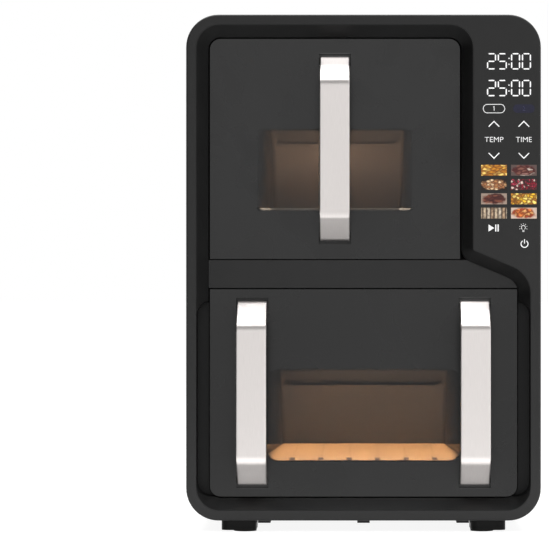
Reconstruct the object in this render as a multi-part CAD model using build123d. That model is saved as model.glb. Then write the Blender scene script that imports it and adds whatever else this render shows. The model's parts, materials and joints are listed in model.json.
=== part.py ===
from build123d import *
import os
from collections import namedtuple
from math import cos, radians, sin, tan

# A tower air fryer with two drawers, one above the other, in a rounded body.
# Millimetres, +Z up, drawer fronts facing -Y, +X to the right as seen from the front.
# The origin is on the floor under the middle of the whole object, handles included.
# A depth is a distance behind the plane of the front rim.

# Body
body_width = 284.0
body_depth = 350.0
corner_radius = 26.0
wall = 2.5
seam_height = 36.0
rear_cover_depth = 10.0
front_edge_radius = 1.6
rear_edge_radius = 5.0
rear_space = 15.0

# Feet and underside
foot_height = 9.0
foot_width = 28.0
foot_length = 40.0
foot_radius = 6.0
foot_inset = 28.0
foot_setback = 6.0
pad_width = 18.4
pad_drop = 1.0
rib_width = 10.0
rib_drop = 3.2
rib_gap = 1.0
rib_setback = 15.0
intake_width = 3.2
intake_length = 60.0
intake_pitch = 9.0
intake_count = 10

# Rim, bevelled recess and control strip
rim_width = 8.0
rim_thickness = 3.0
opening_radius = 19.0
bevel_inset = 9.3
bevel_land = 0.4
recess_depth = 14.0
control_width = 54.0
sweep_angle = 22.8
sweep_lift = 8.0
sweep_inner_radius = 2.0
sweep_outer_radius = 24.0
recess_wall = 4.0
flange_thickness = 3.0
pocket_depth = 24.0
pocket_radius = 11.0
pocket_base = 1.0
pocket_head = 10.5
pocket_edge_radius = 2.0
fit_gap = 0.2

# Drawer fronts and the rail between them
reveal = 0.7
rail_height = 22.4
rail_wall = 3.0
upper_sill = 18.4
panel_thickness = 3.0
panel_edge_radius = 0.6
front_depth = 17.0
front_inset = 0.6
front_wall = 2.5
web_thickness = 2.0
back_thickness = 2.5
close_gap = 0.5

# Windows
window_inset = 13.2
window_radius = 8.0
window_clearance = 1.0
upper_window_head = 13.0
lower_window_head = 4.0
glass_overlap = 4.0
glass_thickness = 3.0
seal_width = 3.0
collar_wall = 2.0

# Handles
handle_reach = 12.0
handle_width = 24.0
handle_thickness = 5.0
handle_edge_radius = 1.0
handle_height = 148.0
handle_flat = 98.0
handle_bend = 7.0
stub_length = 4.0
stub_bend = 5.0
slot_side_gap = 0.9
slot_end_gap = 2.4
handle_margin = 9.75
lower_handle_margin = 34.5

# Baskets, with sides that draw in towards the back and towards the floor
upper_tub_margin = 25.2
lower_tub_margin = 32.2
tub_taper = 15.0
tub_draft = 2.5
tub_wall = 1.5
tub_corner = 6.0
tub_depth = 95.0
tub_lift = 6.0
tub_rear_gap = 36.5
upper_rear_drop = 14.0
lower_rear_drop = 28.0
lip_width = 6.9
lip_thickness = 2.0
side_gap = 0.6
runner_width = 5.0
runner_height = 6.0
runner_gap = 0.3

# Crisper plates
plate_rise = 15.0
plate_thickness = 2.0
plate_gap = 1.2
slot_margin = 3.0
slot_length = 36.0
slot_width = 4.6
slot_pitch = 23.4
hole_radius = 1.6
hole_row_pitch = 21.0
plate_foot_radius = 4.0
plate_foot_inset = 12.0
plate_foot_gap = 0.3

# Cooking chambers and what hangs under and stands on their roofs
base_space = 25.0
top_gap = 0.9
chamber_wall = 1.5
chamber_corner = 6.0
opening_head = 7.0
guard_gap = 4.5
guard_thickness = 1.6
guard_bar = 5.0
guard_hub_radius = 28.0
guard_post_radius = 2.0
guard_post_gap = 1.0
heater_gap = 5.0
heater_tube_radius = 3.3
heater_margin = 14.0
heater_pitch = 13.0
heater_opening = 34.0
heater_bend = 7.0
heater_terminal = 9.0
fan_gap = 3.4
fan_height = 13.0
fan_radius = 50.0
fan_disc = 1.2
fan_blades = 12
fan_hub_radius = 9.0
blade_thickness = 1.2
blade_length = 28.0
blade_sweep = 24.0
roof_gap = 2.5
shaft_radius = 4.0
shaft_clearance = 0.05
roof_hole_gap = 2.0
cooler_gap = 4.0
cooler_height = 10.0
cooler_radius = 32.0
cooler_blades = 7
cooler_chord = 12.0
cooler_pitch = 38.0
bracket_gap = 3.0
bracket_thickness = 1.5
bracket_radius = 44.0
bracket_post_radius = 3.5
bracket_post_inset = 5.0
motor_height = 17.0
motor_radius = 34.0
motor_cap = 2.0
motor_edge_radius = 2.5

# Lamps, probes, sensors and boards
lamp_setback = 24.0
lens_radius = 9.0
lens_drop = 5.0
lens_flange = 3.0
lens_flange_thickness = 1.5
lamp_height = 18.0
probe_radius = 2.0
probe_reach = 14.0
probe_nut_radius = 5.0
probe_nut_length = 6.0
probe_rise = 10.0
probe_setback = 30.0
sensor_size = (10.0, 8.0, 24.0)
sensor_gap = 3.0
board_thickness = 1.6
board_margin = 7.0
board_standoff = 7.0
board_boss_radius = 3.0
board_boss_inset = 6.0
digit_width = 36.0
digit_height = 38.0
digit_thickness = 6.0
digit_drop = 12.0
power_length = 130.0
power_height = 110.0
power_setback = 80.0
power_standoff = 8.0
transformer_height = 24.0
relay_height = 16.0
capacitor_height = 24.0
capacitor_radius = 7.0

# Fasteners, vents and cord gland
screw_radius = 2.0
screw_head_radius = 3.6
screw_head = 2.4
screw_clearance = 0.05
boss_radius = 6.0
boss_inset = 8.0
boss_length = 20.0
base_seat = 4.0
chamber_leg = 9.0
leg_inset = 24.0
vent_width = 3.2
vent_height = 30.0
vent_pitch = 8.0
vent_count = 13
gland_radius = 8.0
gland_flange = 3.0
gland_flange_thickness = 1.5
gland_bore = 3.6
gland_inset = 44.0
gland_rise = 26.0

# Heights above a chamber floor, from the basket up to the top of the motor
plate_top_rise = tub_lift + plate_rise
rim_rise = tub_lift + tub_depth
guard_rise = rim_rise + guard_gap
heater_rise = guard_rise + guard_thickness + heater_gap + heater_tube_radius
fan_rise = heater_rise + heater_tube_radius + fan_gap
roof_rise = fan_rise + fan_height + roof_gap
roof_top_rise = roof_rise + chamber_wall
cooler_rise = roof_top_rise + cooler_gap
bracket_rise = cooler_rise + cooler_height + bracket_gap
motor_rise = bracket_rise + bracket_thickness
stack_rise = motor_rise + motor_height

# Heights above the floor
body_bottom = foot_height
lower_floor = body_bottom + base_space
leg_end = lower_floor - chamber_wall - chamber_leg
recess_bottom = body_bottom + rim_width + bevel_inset
rail_bottom = recess_bottom + handle_height + 2 * (handle_margin + reveal)
rail_top = rail_bottom + rail_height
upper_floor = rail_top + upper_sill
body_top = upper_floor + stack_rise + top_gap + wall
seam = body_bottom + seam_height
opening_bottom = body_bottom + rim_width
opening_top = body_top - rim_width
recess_top = opening_top - bevel_inset
sweep_corner = rail_top + sweep_lift

# Distances left and right of the middle
body_half = body_width / 2
opening_half = body_half - rim_width
recess_half = opening_half - bevel_inset
control_edge = body_half - control_width
recess_right = control_edge - bevel_inset
foot_edge = body_half - foot_inset - foot_width
rib_place = foot_edge - rib_gap - rib_width / 2

# Depths behind the rim
panel_back = recess_depth + panel_thickness
frame_back = panel_back + front_depth
seat = frame_back + back_thickness
flange_front = seat + close_gap
shroud = flange_front + flange_thickness
cover_front = body_depth - rear_cover_depth
chamber_back = cover_front - rear_space
tub_back = chamber_back - tub_rear_gap
fan_depth = (seat + tub_back) / 2
rim_plane = handle_reach - (body_depth + handle_reach) / 2

# One bay holds a drawer, its basket and the chamber round it. Its limits are the edges of the drawer front.
Bay = namedtuple("Bay", "name centre floor left right bottom top tub_half rear_drop window_head slot_columns")

upper = Bay(
    name="upper",
    centre=(recess_right - recess_half) / 2,
    floor=upper_floor,
    left=-recess_half + reveal,
    right=recess_right - reveal,
    bottom=rail_top + reveal,
    top=recess_top - reveal,
    tub_half=(recess_right + recess_half) / 2 - upper_tub_margin,
    rear_drop=upper_rear_drop,
    window_head=upper_window_head,
    slot_columns=4,
)
lower = Bay(
    name="lower",
    centre=0.0,
    floor=lower_floor,
    left=-recess_half + reveal,
    right=recess_half - reveal,
    bottom=recess_bottom + reveal,
    top=rail_bottom - reveal,
    tub_half=recess_half - lower_tub_margin,
    rear_drop=lower_rear_drop,
    window_head=lower_window_head,
    slot_columns=6,
)
bays = (upper, lower)
pocket_bottom = lower.bottom + pocket_base
pocket_top = lower.top - pocket_head


# Drawing helpers

def depth(distance):
    """Y of a point that lies this far behind the rim."""
    return rim_plane + distance


def front_plane(distance):
    """Plane facing the viewer at a depth, drawn on in X and Z."""
    return Plane(origin=(0, depth(distance), 0), x_dir=(1, 0, 0), z_dir=(0, -1, 0))


def prism(outline, near, far):
    """Solid of an outline drawn in X and Z, between two depths."""
    return extrude(front_plane(far) * outline, amount=far - near)


def slab(outline, low, high):
    """Solid of an outline drawn in X and Y, between two heights."""
    return extrude(Pos(0, 0, low) * outline, amount=high - low)


def block(left, right, near, far, low, high):
    """Box between two sides, two depths and two heights."""
    middle = Pos((left + right) / 2, depth((near + far) / 2), (low + high) / 2)
    return middle * Box(right - left, far - near, high - low)


def post(x, y, low, high, radius):
    """Upright round post."""
    return Pos(x, y, (low + high) / 2) * Cylinder(radius, high - low)


def rod(x, z, near, far, radius):
    """Round rod that runs from front to back."""
    return Pos(x, depth((near + far) / 2), z) * Rot(90, 0, 0) * Cylinder(radius, far - near)


def rounded_rect(left, right, bottom, top, radius, corners="all"):
    """Rectangle between four limits with all, its top or its bottom corners rounded."""
    outline = Pos((left + right) / 2, (bottom + top) / 2) * Rectangle(right - left, top - bottom)
    chosen = outline.vertices().sort_by(Axis.Y)
    if corners == "top":
        chosen = chosen[2:]
    if corners == "bottom":
        chosen = chosen[:2]
    return fillet(chosen, radius)


def screw(length):
    """Round-headed screw on the Z axis, its head under the seat at zero."""
    head = Pos(0, 0, -screw_head / 2) * Cylinder(screw_head_radius, screw_head)
    shank = Pos(0, 0, length / 2) * Cylinder(screw_radius, length)
    return head + shank


def screw_hole(x, z, near, far):
    """Hole from front to back for the shank of a screw."""
    return rod(x, z, near, far, screw_radius + screw_clearance)


def both_sides(piece):
    """The piece and its mirror image across the middle."""
    return [piece, mirror(piece, about=Plane.YZ)]


# Outlines

def body_outline(inset=0.0):
    """Rounded front view of the body, a given distance inside its skin."""
    half = body_half - inset
    return rounded_rect(-half, half, body_bottom + inset, body_top - inset, corner_radius - inset)


def opening_outline(inset=0.0):
    """Rim opening with the swept step under the control strip, a given distance inside its edge."""
    slope = tan(radians(sweep_angle))
    drop = inset / cos(radians(sweep_angle))
    half = opening_half - inset
    strip = control_edge - inset
    strip_end = sweep_corner - drop - (strip - control_edge) * slope
    sweep_end = sweep_corner - drop - (half - control_edge) * slope
    top = opening_top - inset
    bottom = opening_bottom + inset
    corner = opening_radius - inset
    points = [(-half, top), (strip, top), (strip, strip_end)]
    points += [(half, sweep_end), (half, bottom), (-half, bottom)]
    inner = max(sweep_inner_radius + inset, fit_gap)
    radii = [corner, corner, inner, sweep_outer_radius - inset, corner, corner]
    return make_face(FilletPolyline(*points, radius=radii, close=True))


def front_outline(bay, inset=0.0):
    """Drawer front, rounded only where it meets a rounded corner of the recess."""
    corners = "top" if bay is upper else "bottom"
    radius = opening_radius - bevel_inset - reveal - inset
    limits = (bay.left + inset, bay.right - inset, bay.bottom + inset, bay.top - inset)
    return rounded_rect(*limits, radius, corners)


def window_outline(bay, grow=0.0):
    """See-through area of a drawer front, from the crisper plate up."""
    half = bay.tub_half - window_inset + grow
    low = bay.floor + plate_top_rise - grow
    high = bay.floor + rim_rise - bay.window_head + grow
    return rounded_rect(bay.centre - half, bay.centre + half, low, high, window_radius + grow)


def bay_half(bay):
    """Half the inner width of a chamber: basket, lip and running gap."""
    return bay.tub_half + lip_width + side_gap


def tub_outline(bay, rise, inset=0.0):
    """Plan of a basket at a height above its chamber floor, narrower at the back."""
    shrink = (rim_rise - rise) * tan(radians(tub_draft)) + inset
    front_half = bay.tub_half - shrink
    rear_half = bay.tub_half - tub_taper - shrink
    near = depth(seat + inset)
    far = depth(tub_back - shrink)
    points = [(-front_half, near), (front_half, near), (rear_half, far), (-rear_half, far)]
    return Pos(bay.centre, 0) * make_face(FilletPolyline(*points, radius=tub_corner - inset, close=True))


# Body pieces

def cover_screw_places():
    """Sides and heights of the screws that hold the rear cover."""
    x = body_half - boss_inset
    low = body_bottom + corner_radius
    high = body_top - corner_radius
    return [(side * x, z) for z in (low, (low + high) / 2, high) for side in (-1, 1)]


def base_screw_places():
    """Places of the screws that hold the legs of the lower chamber to the base tray."""
    x = bay_half(lower) - leg_inset
    near = depth(shroud + leg_inset)
    far = depth(chamber_back - leg_inset)
    return [(side * x, y) for y in (near, far) for side in (-1, 1)]


def power_board_limits():
    """Near and far depths, low and high edges of the power board."""
    near = shroud + power_setback
    low = upper.floor + tub_lift
    return near, near + power_length, low, low + power_height


def display_board_limits():
    """Left, right, low and high edges of the display board."""
    left = control_edge + recess_wall + board_margin
    right = body_half - wall - board_margin
    return left, right, sweep_corner + board_margin, opening_top - board_margin


def make_front_bezel():
    """Rim and control strip in one plate, a skirt with three ribs and bosses for the display board."""
    plate = prism(body_outline(), 0, rim_thickness)
    front_edges = plate.faces().sort_by(Axis.Y)[0].edges()
    plate = fillet(front_edges, front_edge_radius)
    skirt = prism(body_outline() - body_outline(wall), rim_thickness, shroud)
    bezel = plate + skirt - prism(opening_outline(), 0, rim_thickness)
    left, right, low, high = display_board_limits()
    for x in (left + board_boss_inset, right - board_boss_inset):
        for z in (low + board_boss_inset, high - board_boss_inset):
            bezel += rod(x, z, rim_thickness, rim_thickness + board_standoff, board_boss_radius)
    for x in (-rib_place, 0, rib_place):
        left, right = x - rib_width / 2, x + rib_width / 2
        near = rim_thickness + rib_setback
        bezel += block(left, right, near, shroud, body_bottom - rib_drop, body_bottom)
    return bezel


def pocket_outline(grow=0.0):
    """Hollows beside the lower drawer, drawn as one rounded rectangle right across the recess."""
    half = opening_half - fit_gap + grow
    return rounded_rect(-half, half, pocket_bottom - grow, pocket_top + grow, pocket_radius + grow)


def make_recess_frame():
    """Bevelled surround, the straight wells the drawer fronts close into and the flange behind them."""
    frame = prism(opening_outline(fit_gap), 0, rim_thickness)
    frame += prism(opening_outline(-recess_wall), rim_thickness, shroud)
    mouth = front_plane(0) * opening_outline(fit_gap + bevel_land)
    throat = front_plane(recess_depth) * opening_outline(bevel_inset)
    frame -= loft([mouth, throat], ruled=True)
    frame -= prism(opening_outline(bevel_inset), recess_depth, flange_front)
    frame -= prism(pocket_outline(), 0, pocket_depth)
    curves = frame.edges().filter_by(GeomType.BSPLINE)
    mouth_edges = [curve for curve in curves if pocket_bottom < curve.center().Z < pocket_top]
    frame = fillet(mouth_edges, pocket_edge_radius)
    groove = opening_outline(-recess_wall) - opening_outline(bevel_inset - recess_wall)
    pocket_box = prism(pocket_outline(recess_wall), recess_depth, pocket_depth + recess_wall)
    frame -= prism(groove, recess_depth, flange_front) - pocket_box
    for bay in bays:
        half = bay_half(bay)
        low = bay.floor
        high = bay.floor + rim_rise + opening_head
        hole = rounded_rect(bay.centre - half, bay.centre + half, low, high, chamber_corner)
        frame -= prism(hole, flange_front, shroud)
    return frame


def make_centre_rail():
    """Hollow rail between the drawers, ending in the sweep under the control strip."""
    strip = rounded_rect(-recess_half, recess_half, rail_bottom, rail_top, fit_gap)
    outline = strip & opening_outline(bevel_inset + fit_gap)
    hollow = offset(outline, amount=-rail_wall)
    return prism(outline, recess_depth, flange_front) - prism(hollow, recess_depth + rail_wall, flange_front)


def make_housing_shell():
    """Top and sides of the body, with bosses for the rear cover and the power board."""
    ring = body_outline() - body_outline(wall)
    shell = prism(ring, shroud, cover_front)
    shell -= block(-body_width, body_width, shroud, cover_front, 0, seam)
    for x, z in cover_screw_places():
        if z > seam:
            shell += rod(x, z, cover_front - boss_length, cover_front, boss_radius)
            shell -= screw_hole(x, z, cover_front - boss_length, cover_front)
    near, far, low, high = power_board_limits()
    for d in (near + board_boss_inset, far - board_boss_inset):
        for z in (low + board_boss_inset, high - board_boss_inset):
            boss = Rot(0, 90, 0) * Cylinder(board_boss_radius, power_standoff)
            shell += Pos(body_half - wall - power_standoff / 2, depth(d), z) * boss
    return shell


def make_base_tray():
    """Bottom of the body with air intake slots and screw bosses."""
    ring = body_outline() - body_outline(wall)
    tray = prism(ring, shroud, cover_front)
    tray -= block(-body_width, body_width, shroud, cover_front, seam, body_top)
    slot = Pos(0, depth((shroud + cover_front) / 2)) * SlotOverall(intake_length, intake_width, rotation=90)
    first = -rib_place / 2 - (intake_count / 2 - 1) * intake_pitch / 2
    for index in range(intake_count // 2):
        x = first + index * intake_pitch
        for cut in both_sides(slab(Pos(x, 0) * slot, body_bottom, body_bottom + wall)):
            tray -= cut
    for x, z in cover_screw_places():
        if z < seam:
            tray += rod(x, z, cover_front - boss_length, cover_front, boss_radius)
            tray -= screw_hole(x, z, cover_front - boss_length, cover_front)
    for x, y in base_screw_places():
        tray += post(x, y, body_bottom + wall, leg_end, boss_radius)
        tray -= post(x, y, body_bottom, leg_end - base_seat, screw_head_radius + fit_gap)
        tray -= post(x, y, leg_end - base_seat, leg_end, screw_radius + screw_clearance)
    return tray


def make_rear_cover():
    """Shallow cover with a row of vents behind each motor and a seat for the cord gland."""
    plate_front = body_depth - wall
    cover = prism(body_outline(), cover_front, body_depth)
    rear_edges = cover.faces().sort_by(Axis.Y)[-1].edges()
    cover = fillet(rear_edges, rear_edge_radius)
    cover -= prism(body_outline(rear_edge_radius), cover_front, plate_front)
    for x, z in cover_screw_places():
        cover += rod(x, z, cover_front, plate_front, boss_radius)
        cover -= screw_hole(x, z, cover_front, body_depth)
        cover -= rod(x, z, plate_front, body_depth, screw_head_radius + fit_gap)
    for bay in bays:
        middle = bay.floor + bracket_rise
        slot = Pos(bay.centre, middle) * SlotOverall(vent_height, vent_width, rotation=90)
        for index in range(vent_count):
            shift = (index - (vent_count - 1) / 2) * vent_pitch
            cover -= prism(Pos(shift, 0) * slot, plate_front, body_depth)
    x, z = gland_place()
    cover -= rod(x, z, plate_front, body_depth, gland_radius)
    cover -= rod(x, z, body_depth - gland_flange_thickness, body_depth, gland_radius + gland_flange)
    return cover


def gland_place():
    """Side and height of the cord gland in the rear cover."""
    return body_half - gland_inset, body_bottom + gland_rise


def make_cord_gland():
    """Flanged bush that lines the hole for a mains lead."""
    x, z = gland_place()
    gland = rod(x, z, body_depth - gland_flange_thickness, body_depth, gland_radius + gland_flange)
    gland += rod(x, z, cover_front, body_depth, gland_radius)
    return gland - rod(x, z, cover_front, body_depth, gland_bore)


def make_rear_cover_screws():
    """Screws through the rear cover into the shell and the tray."""
    head_seat = depth(body_depth - wall)
    length = rear_cover_depth - wall + boss_length / 2
    return [Pos(x, head_seat, z) * Rot(90, 0, 0) * screw(length) for x, z in cover_screw_places()]


def make_base_screws():
    """Screws up through the base tray into the legs of the lower chamber."""
    length = base_seat + chamber_leg - fit_gap
    return [Pos(x, y, leg_end - base_seat) * screw(length) for x, y in base_screw_places()]


def make_feet(near):
    """Pair of feet: an oblong block with a round pad that reaches a little lower."""
    left = foot_inset - body_half
    middle = depth(near + foot_length / 2)
    plan = Pos(left + foot_width / 2, middle) * RectangleRounded(foot_width, foot_length, foot_radius)
    pad_x = left + foot_width - pad_width / 2
    foot = slab(plan, pad_drop, foot_height)
    foot += post(pad_x, depth(near + pad_width / 2), 0, foot_height, pad_width / 2)
    return both_sides(foot)


# Chamber pieces

def chamber_section(bay, grow=0.0):
    """Front view of a chamber's inside, or of its outside when grown by the wall."""
    half = bay_half(bay) + grow
    low = bay.floor - grow
    high = bay.floor + roof_rise + grow
    return rounded_rect(bay.centre - half, bay.centre + half, low, high, chamber_corner + grow)


def heater_radii(bay):
    """Radii of the outer and the inner loop of a heater."""
    outer = bay_half(bay) - heater_margin
    return outer, outer - heater_pitch


def heater_leg_places(bay):
    """Places in plan where the two heater legs go up through the roof."""
    angle = radians(heater_opening / 2)
    places = []
    for radius in heater_radii(bay):
        x = bay.centre + radius * cos(angle) + heater_bend * sin(angle)
        y = depth(fan_depth) + radius * sin(angle) - heater_bend * cos(angle)
        places.append((x, y))
    return places


def guard_radius(bay):
    """Radius of a heater guard's outer ring and of the posts that carry it."""
    return heater_radii(bay)[0] + heater_tube_radius + guard_post_gap + guard_post_radius


def guard_post_places(bay):
    """Places in plan of the four posts that carry a heater guard."""
    radius = guard_radius(bay)
    turns = [radians(45 + 90 * index) for index in range(4)]
    return [(bay.centre + radius * cos(turn), depth(fan_depth) + radius * sin(turn)) for turn in turns]


def probe_place(bay):
    """Depth and height of a temperature probe in the chamber's right wall."""
    return chamber_back - probe_setback, bay.floor + rim_rise + probe_rise


def make_chamber(bay):
    """Sheet-metal oven box, open to the front, with holes for what passes through its roof and side."""
    chamber = prism(chamber_section(bay, chamber_wall), shroud, chamber_back)
    chamber -= prism(chamber_section(bay), shroud, chamber_back - chamber_wall)
    low = bay.floor + roof_rise
    high = low + chamber_wall
    chamber -= post(bay.centre, depth(fan_depth), low, high, shaft_radius + roof_hole_gap)
    chamber -= post(bay.centre, depth(seat + lamp_setback), low, high, lens_radius + fit_gap)
    for x, y in heater_leg_places(bay):
        chamber -= post(x, y, low, high, heater_tube_radius + fit_gap)
    probe_depth, probe_height = probe_place(bay)
    side = bay.centre + bay_half(bay)
    hole = Rot(0, 90, 0) * Cylinder(probe_radius + fit_gap, chamber_wall)
    chamber -= Pos(side + chamber_wall / 2, depth(probe_depth), probe_height) * hole
    if bay is lower:
        for x, y in base_screw_places():
            chamber += post(x, y, leg_end, bay.floor - chamber_wall, boss_radius)
            chamber -= post(x, y, leg_end, leg_end + chamber_leg, screw_radius + screw_clearance)
    return chamber


def make_runners(bay):
    """Pair of rails on the chamber walls that carry the basket's lip."""
    top = bay.floor + rim_rise - lip_thickness - runner_gap
    outer = bay_half(bay)
    rail = block(outer - runner_width, outer, shroud, chamber_back - chamber_wall, top - runner_height, top)
    return [Pos(bay.centre, 0, 0) * side for side in both_sides(rail)]


def make_heater(bay):
    """Tube heater bent into two loops, both ends turned up through the roof."""
    height = bay.floor + heater_rise
    middle = (bay.centre, depth(fan_depth), height)
    outer, inner = heater_radii(bay)
    half_gap = heater_opening / 2
    last = radians(-half_gap)
    between = (outer + inner) / 2
    turn_point = (middle[0] + between * cos(last), middle[1] + between * sin(last), height)
    loops = [
        CenterArc(middle, outer, half_gap, 360 - heater_opening),
        CenterArc(turn_point, heater_pitch / 2, -half_gap, 180),
        CenterArc(middle, inner, -half_gap, heater_opening - 360),
    ]
    legs = []
    for (x, y), radius in zip(heater_leg_places(bay), (outer, inner)):
        angle = radians(half_gap)
        loop_end = Vector(middle[0] + radius * cos(angle), middle[1] + radius * sin(angle), height)
        leg_foot = Vector(x, y, height + heater_bend)
        along = Vector(x, y, height) - loop_end
        corner = loop_end + along * sin(radians(45)) + Vector(0, 0, heater_bend * (1 - cos(radians(45))))
        leg_top = Vector(x, y, bay.floor + roof_top_rise + heater_terminal)
        legs.append((Line(leg_top, leg_foot), ThreePointArc(leg_foot, corner, loop_end)))
    edges = [*legs[0], *loops, *reversed(legs[1])]
    path = Wire([edge.edge() for edge in edges])
    start = Vector(*heater_leg_places(bay)[0], bay.floor + roof_top_rise + heater_terminal)
    return sweep(Plane(origin=start, z_dir=(0, 0, -1)) * Circle(heater_tube_radius), path=path)


def make_heater_guard(bay):
    """Flat guard of two rings and four spokes, hung from the roof on posts."""
    radius = guard_radius(bay)
    rings = Circle(radius + guard_bar / 2) - Circle(radius - guard_bar / 2)
    rings += Circle(guard_hub_radius + guard_bar / 2) - Circle(guard_hub_radius - guard_bar / 2)
    for turn in (0, 90, 180, 270):
        middle = (radius + guard_hub_radius) / 2
        rings += Rot(0, 0, turn) * Pos(middle, 0) * Rectangle(radius - guard_hub_radius, guard_bar)
    low = bay.floor + guard_rise
    guard = slab(Pos(bay.centre, depth(fan_depth)) * rings, low, low + guard_thickness)
    for x, y in guard_post_places(bay):
        guard += post(x, y, low, bay.floor + roof_rise, guard_post_radius)
    return guard


def make_hot_fan(bay):
    """Centrifugal fan: a disc with swept blades under it and a hub on the shaft."""
    fan = Pos(0, 0, fan_height - fan_disc / 2) * Cylinder(fan_radius, fan_disc)
    fan += Pos(0, 0, fan_height / 2) * Cylinder(fan_hub_radius, fan_height)
    height = fan_height - fan_disc
    blade = Pos(fan_radius - blade_length / 2, 0, height / 2) * Rot(0, 0, blade_sweep)
    blade *= Box(blade_length, blade_thickness, height)
    for index in range(fan_blades):
        fan += Rot(0, 0, index * 360 / fan_blades) * blade
    fan &= Pos(0, 0, fan_height / 2) * Cylinder(fan_radius, fan_height)
    fan -= Pos(0, 0, fan_height / 2) * Cylinder(shaft_radius, fan_height)
    return Pos(bay.centre, depth(fan_depth), bay.floor + fan_rise) * fan


def make_cooling_fan(bay):
    """Open fan above the roof with pitched blades on a hub."""
    fan = Cylinder(fan_hub_radius, cooler_height)
    length = cooler_radius - fan_hub_radius / 2
    blade = Pos(fan_hub_radius / 2 + length / 2, 0, 0) * Rot(cooler_pitch, 0, 0)
    blade *= Box(length, cooler_chord, blade_thickness)
    for index in range(cooler_blades):
        fan += Rot(0, 0, index * 360 / cooler_blades) * blade
    fan &= Cylinder(cooler_radius, cooler_height)
    fan -= Cylinder(shaft_radius, cooler_height)
    return Pos(bay.centre, depth(fan_depth), bay.floor + cooler_rise + cooler_height / 2) * fan


def make_fan_shaft(bay):
    """Shaft from the hot fan up into the motor."""
    top = bay.floor + stack_rise - motor_cap
    return post(bay.centre, depth(fan_depth), bay.floor + fan_rise, top, shaft_radius)


def make_motor(bay):
    """Flat motor with a blind bore for the shaft."""
    low = bay.floor + motor_rise
    high = bay.floor + stack_rise
    y = depth(fan_depth)
    motor = post(bay.centre, y, low, high, motor_radius)
    motor = fillet(motor.edges().sort_by(Axis.Z)[-1], motor_edge_radius)
    return motor - post(bay.centre, y, low, high - motor_cap, shaft_radius + shaft_clearance)


def make_motor_bracket(bay):
    """Round plate on four posts that carries the motor over the cooling fan."""
    low = bay.floor + bracket_rise
    y = depth(fan_depth)
    bracket = post(bay.centre, y, low, low + bracket_thickness, bracket_radius)
    bracket -= post(bay.centre, y, low, low + bracket_thickness, shaft_radius + roof_hole_gap)
    reach = bracket_radius - bracket_post_inset
    for index in range(4):
        turn = radians(45 + 90 * index)
        x = bay.centre + reach * cos(turn)
        bracket += post(x, y + reach * sin(turn), bay.floor + roof_top_rise, low, bracket_post_radius)
    return bracket


def make_lamp_lens(bay):
    """Glass cup that hangs through the roof on its flange."""
    y = depth(seat + lamp_setback)
    roof_top = bay.floor + roof_top_rise
    lens = post(bay.centre, y, bay.floor + roof_rise - lens_drop, roof_top, lens_radius)
    return lens + post(bay.centre, y, roof_top, roof_top + lens_flange_thickness, lens_radius + lens_flange)


def make_lamp(bay):
    """Lamp housing that stands on the flange of its lens."""
    low = bay.floor + roof_top_rise + lens_flange_thickness
    y = depth(seat + lamp_setback)
    lamp = post(bay.centre, y, low, low + lamp_height, lens_radius + lens_flange)
    return fillet(lamp.edges().sort_by(Axis.Z)[-1], lens_flange)


def make_temperature_probes():
    """A probe through the right wall of each chamber, with its nut outside."""
    probes = []
    for bay in bays:
        probe_depth, height = probe_place(bay)
        outside = bay.centre + bay_half(bay) + chamber_wall
        length = probe_reach + chamber_wall + probe_nut_length
        tip = outside + probe_nut_length - length / 2
        probe = Pos(tip, 0, 0) * Rot(0, 90, 0) * Cylinder(probe_radius, length)
        nut = Rot(0, 90, 0) * extrude(RegularPolygon(probe_nut_radius, 6), amount=probe_nut_length)
        probes.append(Pos(0, depth(probe_depth), height) * (probe + Pos(outside, 0, 0) * nut))
    return probes


def make_drawer_sensors():
    """A reed switch behind the recess flange beside each chamber."""
    sensors = []
    width, length, height = sensor_size
    for bay in bays:
        right = bay.centre - bay_half(bay) - chamber_wall - sensor_gap
        low = bay.floor + rim_rise - height / 2
        sensors.append(block(right - width, right, shroud, shroud + length, low, low + height))
    return sensors


# Boards

def make_display_board():
    """Touch and display board behind the control strip."""
    left, right, low, high = display_board_limits()
    near = rim_thickness + board_standoff
    return block(left, right, near, near + board_thickness, low, high)


def make_digit_display():
    """Two-row digit module on the front of the display board."""
    left, right, low, high = display_board_limits()
    middle = (left + right) / 2
    top = high - digit_drop
    far = rim_thickness + board_standoff
    return block(
        middle - digit_width / 2, middle + digit_width / 2,
        far - digit_thickness, far, top - digit_height, top,
    )


def make_power_board():
    """Power board on the right wall of the shell, with its larger components."""
    near, far, low, high = power_board_limits()
    right = body_half - wall - power_standoff
    face = right - board_thickness
    board = block(face, right, near, far, low, high)
    third = power_length / 3
    middle = (low + high) / 2
    edge = board_boss_inset * 2
    board += block(face - transformer_height, face, near + edge, near + edge + third, middle, high - edge)
    board += block(face - relay_height, face, far - third, far - edge, low + edge, middle - edge)
    capacitor = Rot(0, 90, 0) * Cylinder(capacitor_radius, capacitor_height)
    for index in range(3):
        y = depth(far - edge - index * third / 2)
        board += Pos(face - capacitor_height / 2, y, high - 2 * edge) * capacitor
    return board


# Drawer pieces

def handle_places(bay):
    """Sides at which a drawer carries its handles, by node name."""
    if bay is upper:
        return {"upper_handle": bay.centre}
    offset_x = bay.right - lower_handle_margin
    return {"lower_left_handle": -offset_x, "lower_right_handle": offset_x}


def front_middle(bay):
    """Height of the middle of a drawer front."""
    return (bay.bottom + bay.top) / 2


def stub_heights(bay):
    """Heights of the two ends of a handle, at the middle of its thickness."""
    reach = (handle_height - handle_thickness) / 2
    return front_middle(bay) - reach, front_middle(bay) + reach


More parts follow.
